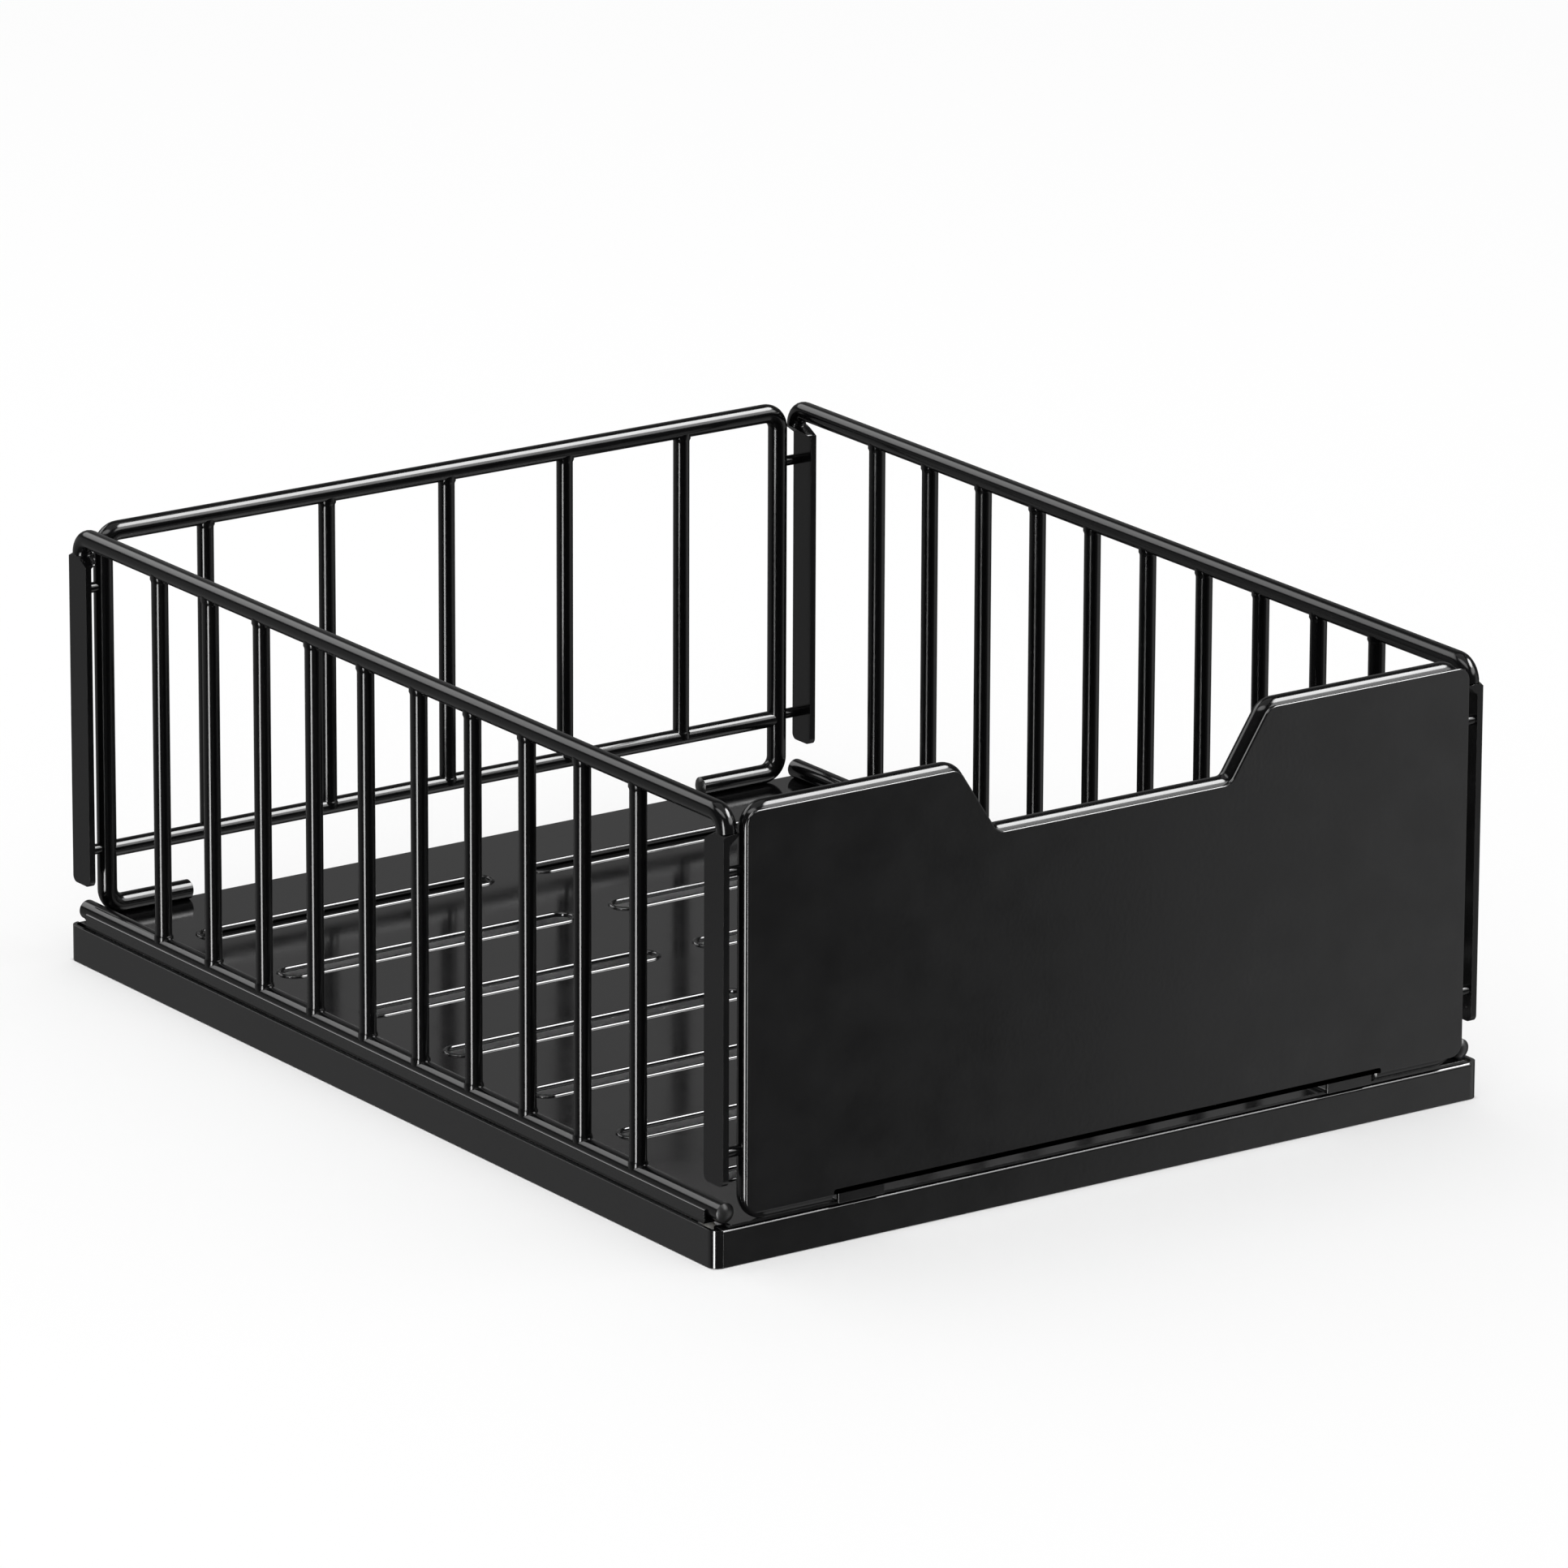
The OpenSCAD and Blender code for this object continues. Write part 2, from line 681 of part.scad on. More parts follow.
// Spacer pins that are welded between the posts and the end frames' legs
spacer_d = 4;
spacer_zs = [post_z + 12, post_top - 14];
module corner_pins() {
    color([0.1, 0.1, 0.1])
        for (side = [-1, 1], z = spacer_zs) {
            corner_pin(side, front_leg_x, front_frame_y, z);
            corner_pin(side, rear_leg_x, rear_frame_y, z);
        }
}
module corner_pin(side, leg_x, y, z) {
    on_side(side)
        difference() {
            translate([leg_x, y, z]) rotate([0, 90, 0]) cylinder(h = post_in - leg_x, d = spacer_d);
            translate([leg_x, y, z - spacer_d]) cylinder(h = 2 * spacer_d, d = rail_d);
        }
}

// A plug in a tube's open end: its stem fits the bore and its domed head covers the rim
module tube_plug() {
    rotate([180, 0, 0]) cylinder(h = plug_l, d = rail_d - 2 * tube_wall - 0.1);
    intersection() {
        cylinder(h = plug_head, d = rail_d);
        translate([0, 0, plug_head - dome_r]) sphere(r = dome_r);
    }
}
dome_r = (rail_d * rail_d / 4 + plug_head * plug_head) / (2 * plug_head);

module tube_plugs() {
    color([0.04, 0.04, 0.04])
        for (side = [-1, 1]) {
            translate([side * side_x, mid_y - low_rail_l / 2, low_rail_z]) rotate([90, 0, 0]) tube_plug();
            translate([side * side_x, mid_y + low_rail_l / 2, low_rail_z]) rotate([-90, 0, 0]) tube_plug();
            translate([side * (front_leg_x - foot_l), front_frame_y, low_rail_z])
                rotate([0, -90 * side, 0]) tube_plug();
            translate([side * (rear_leg_x - rear_foot_l), rear_frame_y, low_rail_z])
                rotate([0, -90 * side, 0]) tube_plug();
        }
}

base_side_rail(-1);  // base_left_rail
base_side_rail(1);  // base_right_rail
base_end_rail(base_y0, 1);  // base_front_rail
base_end_rail(base_y1, -1);  // base_rear_rail
base_rivets();
channel(-1);  // channel_left
channel(1);  // channel_right
channel_stops();
front_roller_pins();
roller(-1, front_roller_y, front_roller_z);  // front_roller_left
roller(1, front_roller_y, front_roller_z);  // front_roller_right
roller(-1, rear_roller_y, rear_roller_z);  // rear_roller_left
roller(1, rear_roller_y, rear_roller_z);  // rear_roller_right
rear_bracket(-1);  // rear_bracket_left
rear_bracket(1);  // rear_bracket_right
rear_roller_pins();
bracket_rivets();
tray();
bottom_rail(-1);  // bottom_rail_left
bottom_rail(1);  // bottom_rail_right
top_rail(-1);  // top_rail_left
top_rail(1);  // top_rail_right
side_bars(-1);  // side_bars_left
side_bars(1);  // side_bars_right
post(-1, -1);  // post_front_left
post(1, -1);  // post_front_right
post(-1, 1);  // post_rear_left
post(1, 1);  // post_rear_right
rear_frame();
rear_lower_rail();
rear_bars();
front_leg(-1);  // front_leg_left
front_leg(1);  // front_leg_right
notch_rod(0);  // notch_side_left
notch_rod(1);  // notch_floor_rod
notch_rod(2);  // notch_side_right
front_panel();
panel_brackets();
corner_pins();
tube_plugs();
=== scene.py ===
"""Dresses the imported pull-out cabinet basket: rounded sheet pieces, bent tubes, bars, rollers and finishes.

Everything is in metres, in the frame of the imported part: the front panel faces -Y, +X is to its right
and +Z is up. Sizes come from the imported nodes' boxes where a node has them.
"""

import math

import bmesh
import bpy
from mathutils import Matrix, Vector


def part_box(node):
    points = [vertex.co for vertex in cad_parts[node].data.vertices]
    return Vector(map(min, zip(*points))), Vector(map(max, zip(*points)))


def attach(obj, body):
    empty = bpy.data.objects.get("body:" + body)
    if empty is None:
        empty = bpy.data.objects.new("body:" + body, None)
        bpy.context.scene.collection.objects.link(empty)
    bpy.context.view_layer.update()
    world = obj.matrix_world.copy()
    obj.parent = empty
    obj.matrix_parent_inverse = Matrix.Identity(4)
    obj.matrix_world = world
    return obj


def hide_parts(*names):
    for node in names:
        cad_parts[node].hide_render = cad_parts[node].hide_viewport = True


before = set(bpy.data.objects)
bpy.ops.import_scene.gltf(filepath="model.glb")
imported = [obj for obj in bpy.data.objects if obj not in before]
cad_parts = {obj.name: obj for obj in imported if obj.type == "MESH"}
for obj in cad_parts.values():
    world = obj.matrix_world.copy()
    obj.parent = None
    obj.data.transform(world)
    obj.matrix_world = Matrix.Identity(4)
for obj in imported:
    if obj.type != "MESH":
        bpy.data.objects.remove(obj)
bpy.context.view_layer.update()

MM = 0.001


# ---- Sizes that the boxes don't give ----

TUBE_D = 7.5 * MM
BAR_D = 6.4 * MM
BEND_R = 6.5 * MM
TUBE_SIDES = 28
BEND_STEPS = 10
BAR_SIDES = 24

# The weld at each end of a bar: a straight foot, then a curved flare down to the bar's own radius
WELD_SEAT = 2.2 * MM
WELD_FLARE = 0.45 * MM
WELD_LENGTH = 1.3 * MM
WELD_STEPS = 3

# How far a bar runs on past its CAD solid, into the tube that it is welded to
BAR_OVERLAP = 0.4 * MM

# Radii of the rounded edges. BEND is the larger one of an edge where a sheet is bent over.
EDGE_CROSS_RAIL = 0.35 * MM
BEND_CROSS_RAIL = 1.3 * MM
EDGE_SIDE_RAIL = 0.25 * MM
EDGE_RUNNER = 0.3 * MM
EDGE_STOP = 0.6 * MM
EDGE_ROLLER_PIN = 0.15 * MM
EDGE_BRACKET_RIVET = 0.1 * MM
EDGE_TRAY = 0.28 * MM
BEND_TRAY_LIP = 0.65 * MM
EDGE_POST = 0.8 * MM
EDGE_PANEL = 0.68 * MM
EDGE_PANEL_BRACKET = 0.3 * MM
EDGE_CORNER_PIN = 0.1 * MM
EDGE_PLUG = 0.12 * MM
EDGE_STEPS = 3
PANEL_EDGE_STEPS = 5
BEND_SEGMENTS = 6
FACE_WEIGHT = 100

# Angles past which an edge stays sharp, or under which a face counts as flat
SHARP_ANGLE = math.radians(32)
TUBE_SHARP_ANGLE = math.radians(50)
FLAT_ANGLE = math.radians(0.5)

# Distances within which points are merged, or a point counts as on a side of a box
MERGE_DIST = 0.002 * MM
TURNED_MERGE_DIST = 0.001 * MM
NEAR = 0.01 * MM


# ---- Finishes ----

# The middle range of a noise, which is spread over the range that a finish needs
NOISE_START = 0.3
NOISE_END = 0.7

# How strong and how deep each kind of surface relief is. The coat's grain has a share of its peel's strength.
PEEL_DEPTH = 0.06 * MM
COAT_GRAIN_DEPTH = 0.01 * MM
COAT_GRAIN_SHARE = 0.6
DRAWN_STRENGTH = 0.15
DRAWN_DEPTH = 0.01 * MM
PORE_STRENGTH = 0.12
PORE_DEPTH = 0.02 * MM
MOULD_GRAIN_DEPTH = 0.03 * MM


def new_material(name):
    """A new node material, with its node tree and its Principled shader."""
    mat = bpy.data.materials.new(name)
    mat.use_nodes = True
    tree = mat.node_tree
    shader = tree.nodes["Principled BSDF"]
    return mat, tree, shader


def object_noise(tree, scale, detail=2.0, rough=0.5, stretch=None):
    """Noise on Object coordinates, stretched if asked, as its Fac output."""
    coords = tree.nodes.new("ShaderNodeTexCoord")
    noise = tree.nodes.new("ShaderNodeTexNoise")
    noise.inputs["Scale"].default_value = scale
    noise.inputs["Detail"].default_value = detail
    noise.inputs["Roughness"].default_value = rough
    source = coords.outputs["Object"]
    if stretch:
        mapping = tree.nodes.new("ShaderNodeMapping")
        mapping.inputs["Scale"].default_value = stretch
        tree.links.new(source, mapping.inputs["Vector"])
        source = mapping.outputs["Vector"]
    tree.links.new(source, noise.inputs["Vector"])
    return noise.outputs["Fac"]


def ranged(tree, value, low, high):
    """Maps a noise's middle range to low..high."""
    spread = tree.nodes.new("ShaderNodeMapRange")
    spread.inputs["From Min"].default_value = NOISE_START
    spread.inputs["From Max"].default_value = NOISE_END
    spread.inputs["To Min"].default_value = low
    spread.inputs["To Max"].default_value = high
    tree.links.new(value, spread.inputs["Value"])
    return spread.outputs["Result"]


def mixed_colours(tree, value, dark, light):
    """A colour between two, by a noise's middle range."""
    mix = tree.nodes.new("ShaderNodeMix")
    mix.data_type = "RGBA"
    mix.inputs["A"].default_value = (*dark, 1)
    mix.inputs["B"].default_value = (*light, 1)
    tree.links.new(ranged(tree, value, 0, 1), mix.inputs["Factor"])
    return mix.outputs["Result"]


def add_bumps(tree, shader, layers):
    """Stacks bump layers, each a (height output, strength, distance in metres)."""
    normal = None
    for height, strength, distance in layers:
        bump = tree.nodes.new("ShaderNodeBump")
        bump.inputs["Strength"].default_value = strength
        bump.inputs["Distance"].default_value = distance
        tree.links.new(height, bump.inputs["Height"])
        if normal is not None:
            tree.links.new(normal, bump.inputs["Normal"])
        normal = bump.outputs["Normal"]
    tree.links.new(normal, shader.inputs["Normal"])


def powder_coat(name, dark, light, rough_low, rough_high, peel, level=0.5):
    """Black powder coat: a slow change of tone and gloss, a fine orange peel and a finer grain."""
    mat, tree, shader = new_material(name)
    shader.inputs["Specular IOR Level"].default_value = level
    cloud = object_noise(tree, scale=14.0, detail=3.0)
    tree.links.new(mixed_colours(tree, cloud, dark, light), shader.inputs["Base Color"])
    haze = object_noise(tree, scale=42.0, detail=4.0, rough=0.6)
    tree.links.new(ranged(tree, haze, rough_low, rough_high), shader.inputs["Roughness"])
    peel_waves = object_noise(tree, scale=620.0, detail=1.5)
    grain = object_noise(tree, scale=4200.0, detail=1.0)
    fine = (grain, peel * COAT_GRAIN_SHARE, COAT_GRAIN_DEPTH)
    add_bumps(tree, shader, [(peel_waves, peel, PEEL_DEPTH), fine])
    return mat


def zinc_plate(name):
    """Bright zinc plating on rolled steel: faint drawn lines and cloudy patches."""
    mat, tree, shader = new_material(name)
    shader.inputs["Metallic"].default_value = 1.0
    dark = (0.46, 0.47, 0.48)
    light = (0.62, 0.63, 0.65)
    patches = object_noise(tree, scale=160.0, detail=4.0, rough=0.6)
    tree.links.new(mixed_colours(tree, patches, dark, light), shader.inputs["Base Color"])
    drawn = object_noise(tree, scale=900.0, detail=2.0, rough=0.5, stretch=(1.0, 0.02, 1.0))
    tree.links.new(ranged(tree, drawn, low=0.26, high=0.42), shader.inputs["Roughness"])
    add_bumps(tree, shader, [(drawn, DRAWN_STRENGTH, DRAWN_DEPTH)])
    return mat


def nylon(name):
    """Natural nylon: creamy, slightly waxy, with faint flow marks."""
    mat, tree, shader = new_material(name)
    shader.inputs["Subsurface Weight"].default_value = 0.15
    shader.inputs["Subsurface Radius"].default_value = (0.001, 0.0009, 0.0007)
    dark = (0.70, 0.68, 0.62)
    light = (0.80, 0.79, 0.75)
    flow = object_noise(tree, scale=260.0, detail=3.0)
    tree.links.new(mixed_colours(tree, flow, dark, light), shader.inputs["Base Color"])
    tree.links.new(ranged(tree, flow, low=0.38, high=0.52), shader.inputs["Roughness"])
    pores = object_noise(tree, scale=1800.0, detail=2.0)
    add_bumps(tree, shader, [(pores, PORE_STRENGTH, PORE_DEPTH)])
    return mat


def dull_black(name, dark, light, rough_low, rough_high, grain_scale, grain):
    """Moulded black rubber or plastic with a fine moulded grain."""
    mat, tree, shader = new_material(name)
    cloud = object_noise(tree, scale=90.0, detail=3.0)
    tree.links.new(mixed_colours(tree, cloud, dark, light), shader.inputs["Base Color"])
    tree.links.new(ranged(tree, cloud, rough_low, rough_high), shader.inputs["Roughness"])
    grain_noise = object_noise(tree, scale=grain_scale, detail=2.0)
    add_bumps(tree, shader, [(grain_noise, grain, MOULD_GRAIN_DEPTH)])
    return mat


BLACK = "black_powder_coat"
ZINC = "zinc_steel"
NYLON = "roller_nylon"
RUBBER = "stop_rubber"
PLASTIC = "plug_plastic"

SHEET_TONES = (0.0026, 0.0026, 0.0028), (0.0042, 0.0042, 0.0045)
TUBE_TONES = (0.0022, 0.0022, 0.0024), (0.0038, 0.0038, 0.0041)
RUBBER_TONES = (0.012, 0.012, 0.012), (0.022, 0.022, 0.021)
PLASTIC_TONES = (0.009, 0.009, 0.009), (0.014, 0.014, 0.014)

sheet_black = powder_coat("powder_black_sheet", *SHEET_TONES, rough_low=0.10, rough_high=0.15, peel=0.07)
tube_black = powder_coat(
    "powder_black_tube", *TUBE_TONES, rough_low=0.11, rough_high=0.17, peel=0.08, level=0.26
)
tray_black = powder_coat("powder_black_tray", *SHEET_TONES, rough_low=0.08, rough_high=0.14, peel=0.08)
zinc = zinc_plate("zinc_plating")
white_nylon = nylon("natural_nylon")
soft_rubber = dull_black(
    "black_rubber", *RUBBER_TONES, rough_low=0.62, rough_high=0.8, grain_scale=2400.0, grain=0.3
)
black_plastic = dull_black(
    "black_plastic", *PLASTIC_TONES, rough_low=0.3, rough_high=0.42, grain_scale=1900.0, grain=0.14
)


# ---- Making pieces ----


def put(mesh, name, body, material, slot, *nodes):
    """Makes a piece of a finished mesh: its finish, its body and the nodes that it stands for."""
    piece = bpy.data.objects.new(name, mesh)
    bpy.context.scene.collection.objects.link(piece)
    if material is not None:
        mesh.materials.clear()
        mesh.materials.append(material)
    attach(piece, body)
    if nodes:
        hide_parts(*nodes)
    return piece


def baked(source, name):
    """The evaluated mesh of an object, modifiers applied. The source object is removed."""
    bpy.context.view_layer.update()
    depsgraph = bpy.context.evaluated_depsgraph_get()
    mesh = bpy.data.meshes.new_from_object(source.evaluated_get(depsgraph))
    mesh.name = name
    bpy.data.objects.remove(source)
    return mesh


def smooth_by_angle(mesh, angle=SHARP_ANGLE):
    """Smooth faces, with the edges past the angle kept sharp."""
    for polygon in mesh.polygons:
        polygon.use_smooth = True
    mesh.set_sharp_from_angle(angle=angle)


def scratch_object(mesh):
    """A passing object that carries a mesh while its modifiers run."""
    piece = bpy.data.objects.new("scratch", mesh)
    bpy.context.scene.collection.objects.link(piece)
    return piece


def finished_mesh(form, name):
    """Turns a bmesh into a mesh and frees it."""
    mesh = bpy.data.meshes.new(name)
    form.to_mesh(mesh)
    form.free()
    return mesh


def merged_copy(node):
    """A node's mesh with its loose triangles joined and its flat faces made whole."""
    form = bmesh.new()
    form.from_mesh(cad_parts[node].data)
    bmesh.ops.remove_doubles(form, verts=form.verts, dist=MERGE_DIST)
    bmesh.ops.dissolve_limit(form, angle_limit=FLAT_ANGLE, verts=form.verts, edges=form.edges)
    return finished_mesh(form, node)


def rounded_edges(mesh, name, radius, steps=EDGE_STEPS, bend=None):
    """A mesh with each sharp edge rolled over, as on deburred and coated sheet.

    A bend is (radius, picks): the edges whose two ends are picked get that larger radius first.
    """
    for polygon in mesh.polygons:
        polygon.use_smooth = True
    piece = scratch_object(mesh)
    if bend:
        bend_radius, picks = bend
        weights = mesh.attributes.new("bevel_weight_edge", "FLOAT", "EDGE")
        for edge in mesh.edges:
            if all(picks(mesh.vertices[v].co) for v in edge.vertices):
                weights.data[edge.index].value = 1.0
        roll = piece.modifiers.new("bend", "BEVEL")
        roll.width = bend_radius
        roll.segments = BEND_SEGMENTS
        roll.limit_method = "WEIGHT"
    bevel = piece.modifiers.new("edges", "BEVEL")
    bevel.width = radius
    bevel.segments = steps
    bevel.limit_method = "ANGLE"
    bevel.angle_limit = SHARP_ANGLE
    bevel.use_clamp_overlap = True
    level = piece.modifiers.new("normals", "WEIGHTED_NORMAL")
    level.weight = FACE_WEIGHT
    level.keep_sharp = False
    return baked(piece, name)


def soften(node, body, material, slot, radius, bend=None):
    """Replaces a node by a copy of it with rounded edges."""
    mesh = rounded_edges(merged_copy(node), node + "_mesh", radius, bend=bend)
    return put(mesh, node + "_piece", body, material, slot, node)


# ---- Geometry Nodes trees ----


def node_tree(name, sizes):
    """A tree with a geometry input, named size inputs and a geometry output."""
    tree = bpy.data.node_groups.new(name, "GeometryNodeTree")
    tree.interface.new_socket("Route", in_out="INPUT", socket_type="NodeSocketGeometry")
    for label, kind in sizes:
        tree.interface.new_socket(label, in_out="INPUT", socket_type=kind)
    tree.interface.new_socket("Finish", in_out="INPUT", socket_type="NodeSocketMaterial")
    tree.interface.new_socket("Form", in_out="OUTPUT", socket_type="NodeSocketGeometry")
    start = tree.nodes.new("NodeGroupInput")
    end = tree.nodes.new("NodeGroupOutput")
    return tree, start, end


def finish_tree(tree, start, end, geometry):
    """Ends a tree: real geometry and its finish."""
    realize = tree.nodes.new("GeometryNodeRealizeInstances")
    paint = tree.nodes.new("GeometryNodeSetMaterial")
    tree.links.new(geometry, realize.inputs["Geometry"])
    tree.links.new(realize.outputs["Geometry"], paint.inputs["Geometry"])
    tree.links.new(start.outputs["Finish"], paint.inputs["Material"])
    tree.links.new(paint.outputs["Geometry"], end.inputs["Form"])


def bent_tube_tree():
    """A round tube that follows a route of straight runs, with rounded bends."""
    tree, start, end = node_tree(
        "bent_tube", [("Tube diameter", "NodeSocketFloat"), ("Bend radius", "NodeSocketFloat")]
    )
    curve = tree.nodes.new("GeometryNodeMeshToCurve")
    fillet = tree.nodes.new("GeometryNodeFilletCurve")
    fillet.mode = "POLY"
    fillet.inputs["Count"].default_value = BEND_STEPS
    fillet.inputs["Limit Radius"].default_value = True
    ring = tree.nodes.new("GeometryNodeCurvePrimitiveCircle")
    ring.inputs["Resolution"].default_value = TUBE_SIDES
    half = tree.nodes.new("ShaderNodeMath")
    half.operation = "MULTIPLY"
    half.inputs[1].default_value = 0.5
    skin = tree.nodes.new("GeometryNodeCurveToMesh")
    skin.inputs["Fill Caps"].default_value = True
    tree.links.new(start.outputs["Route"], curve.inputs["Mesh"])
    tree.links.new(curve.outputs["Curve"], fillet.inputs["Curve"])
    tree.links.new(start.outputs["Bend radius"], fillet.inputs["Radius"])
    tree.links.new(start.outputs["Tube diameter"], half.inputs[0])
    tree.links.new(half.outputs["Value"], ring.inputs["Radius"])
    tree.links.new(fillet.outputs["Curve"], skin.inputs["Curve"])
    tree.links.new(ring.outputs["Curve"], skin.inputs["Profile Curve"])
    finish_tree(tree, start, end, skin.outputs["Mesh"])
    return tree


def copies_tree():
    """Copies of one shape on the points of a route."""
    tree, start, end = node_tree("copies_on_points", [("Shape", "NodeSocketObject")])
    shape = tree.nodes.new("GeometryNodeObjectInfo")
    points = tree.nodes.new("GeometryNodeMeshToPoints")
    copies = tree.nodes.new("GeometryNodeInstanceOnPoints")
    tree.links.new(start.outputs["Shape"], shape.inputs["Object"])
    tree.links.new(start.outputs["Route"], points.inputs["Mesh"])
    tree.links.new(points.outputs["Points"], copies.inputs["Points"])
    tree.links.new(shape.outputs["Geometry"], copies.inputs["Instance"])
    finish_tree(tree, start, end, copies.outputs["Instances"])
    return tree


def run_tree(tree, route, name, **values):
    """Runs a tree on a mesh and returns the plain mesh."""
    piece = scratch_object(route)
    modifier = piece.modifiers.new("form", "NODES")
    modifier.node_group = tree
    for item in tree.interface.items_tree:
        if item.item_type == "SOCKET" and item.in_out == "INPUT" and item.name in values:
            modifier[item.identifier] = values[item.name]
    return baked(piece, name)


def route_mesh(points, joined=True):
    """A mesh of points only, joined in a row if asked."""
    mesh = bpy.data.meshes.new("route")
    edges = [(i, i + 1) for i in range(len(points) - 1)] if joined else []
    mesh.from_pydata([tuple(p) for p in points], edges, [])
    return mesh


def revolve(profile, sides, axis="Z"):
    """A solid of revolution about Z, or laid along X, from (radius, height) points.

    The points start and end on the axis, or come back to the first one.
    """
    form = bmesh.new()
    spine = [form.verts.new((r, 0, h)) for r, h in profile]
    edges = [form.edges.new((a, b)) for a, b in zip(spine, spine[1:])]
    bmesh.ops.spin(
        form, geom=spine + edges, cent=(0, 0, 0), axis=(0, 0, 1),
        angle=2 * math.pi, steps=sides, use_merge=True,
    )
    bmesh.ops.remove_doubles(form, verts=form.verts, dist=TURNED_MERGE_DIST)
    bmesh.ops.recalc_face_normals(form, faces=form.faces)
    if axis == "X":
        quarter = Matrix.Rotation(math.pi / 2, 3, "Y")
        bmesh.ops.rotate(form, verts=form.verts, cent=(0, 0, 0), matrix=quarter)
    mesh = finished_mesh(form, "turned")
    smooth_by_angle(mesh)
    return mesh


tube_tree = bent_tube_tree()
copy_tree = copies_tree()


def tube(name, points, body, diameter, *nodes):
    """A bent tube piece that stands for the nodes given."""
    values = {"Tube diameter": diameter, "Bend radius": BEND_R, "Finish": tube_black}
    mesh = run_tree(tube_tree, route_mesh(points), name + "_mesh", **values)
    form = bmesh.new()
    form.from_mesh(mesh)
    bmesh.ops.remove_doubles(form, verts=form.verts, dist=MERGE_DIST)
    bmesh.ops.recalc_face_normals(form, faces=form.faces)
    form.to_mesh(mesh)
    form.free()
    smooth_by_angle(mesh, TUBE_SHARP_ANGLE)
    return put(mesh, name, body, None, BLACK, *nodes)


def copies(name, shape_mesh, points, body, material, slot, *nodes):
    """Copies of one shape on points, as one piece."""
    shape = scratch_object(shape_mesh)
    values = {"Shape": shape, "Finish": material}
    mesh = run_tree(copy_tree, route_mesh(points, joined=False), name + "_mesh", **values)
    bpy.data.objects.remove(shape)
    smooth_by_angle(mesh)
    return put(mesh, name, body, None, slot, *nodes)


# ---- Base frame ----

base_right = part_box("base_right_rail")[1].x
base_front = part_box("base_front_rail")[0].y
base_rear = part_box("base_rear_rail")[1].y
base_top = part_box("base_front_rail")[1].z


def on_top_bend(co):
    """On the outer top edge of a front or rear rail, where its lip is bent over."""
    return co.z > base_top - NEAR and (co.y < base_front + NEAR or co.y > base_rear - NEAR)


for rail in ("base_front_rail", "base_rear_rail"):
    soften(rail, "base", sheet_black, BLACK, EDGE_CROSS_RAIL, (BEND_CROSS_RAIL, on_top_bend))
for rail in ("base_left_rail", "base_right_rail"):
    soften(rail, "base", sheet_black, BLACK, EDGE_SIDE_RAIL)

for channel in ("channel_left", "channel_right"):
    soften(channel, "base", zinc, ZINC, EDGE_RUNNER)

soften("channel_stops", "base", soft_rubber, RUBBER, EDGE_STOP)


def solid_boxes(node):
    """The lowest and highest corner of each separate solid in a node, sorted by the lowest."""
    form = bmesh.new()
    form.from_mesh(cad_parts[node].data)
    bmesh.ops.remove_doubles(form, verts=form.verts, dist=MERGE_DIST)
    left = set(form.verts)
    boxes = []
    while left:
        seed = left.pop()
        group, border = {seed}, [seed]
        while border:
            vert = border.pop()
            for edge in vert.link_edges:
                other = edge.other_vert(vert)
                if other not in group:
                    group.add(other)
                    border.append(other)
        left -= group
        low = Vector([min(v.co[k] for v in group) for k in range(3)])
        high = Vector([max(v.co[k] for v in group) for k in range(3)])
        boxes.append((low, high))
    form.free()
    return sorted(boxes, key=lambda box: tuple(box[0]))


# HEAD_TUCK is the radius of a rivet head's underside as a share of its widest, and HEAD_RIM the height
# of its widest place as a share of its own
RIVET_SHANK_R = 1.6 * MM
RIVET_SHANK = 3.0 * MM
RIVET_SIDES = 20
HEAD_TUCK = 0.96
HEAD_RIM = 0.1
DOME_STEPS = 5


def domed_rivet(shank_r, head_r, shank, head):
    """A rivet with a domed head, standing on its lower end."""
    profile = [(0, 0), (shank_r, 0), (shank_r, shank), (head_r * HEAD_TUCK, shank)]
    profile.append((head_r, shank + HEAD_RIM * head))
    for k in range(1, DOME_STEPS + 1):
        angle = math.pi / 2 * k / DOME_STEPS
        rise = HEAD_RIM + (1 - HEAD_RIM) * math.sin(angle)
        profile.append((head_r * math.cos(angle), shank + head * rise))
    profile[-1] = (0, shank + head)
    return revolve(profile, RIVET_SIDES)


rivet_boxes = solid_boxes("base_rivets")
low, high = rivet_boxes[0]
copies(
    "base_rivet_set",
    domed_rivet(RIVET_SHANK_R, (high.x - low.x) / 2, RIVET_SHANK, high.z - low.z - RIVET_SHANK),
    [Vector(((a.x + b.x) / 2, (a.y + b.y) / 2, a.z)) for a, b in rivet_boxes],
    "base", zinc, ZINC, "base_rivets",
)


# ---- Rollers and their pins ----

ROLLER_BORE_R = 1.55 * MM
ROLLER_RIM = 0.35 * MM
ROLLER_DISH = 0.35 * MM
ROLLER_CROWN = 0.1 * MM
ROLLER_SIDES = 48

# Shares of the roller's radius where its recessed web ends and its flat face starts, and of its half
# width where its flat tread ends
WEB_SHARE = 0.55
FACE_SHARE = 0.62
TREAD_SHARE = 0.4


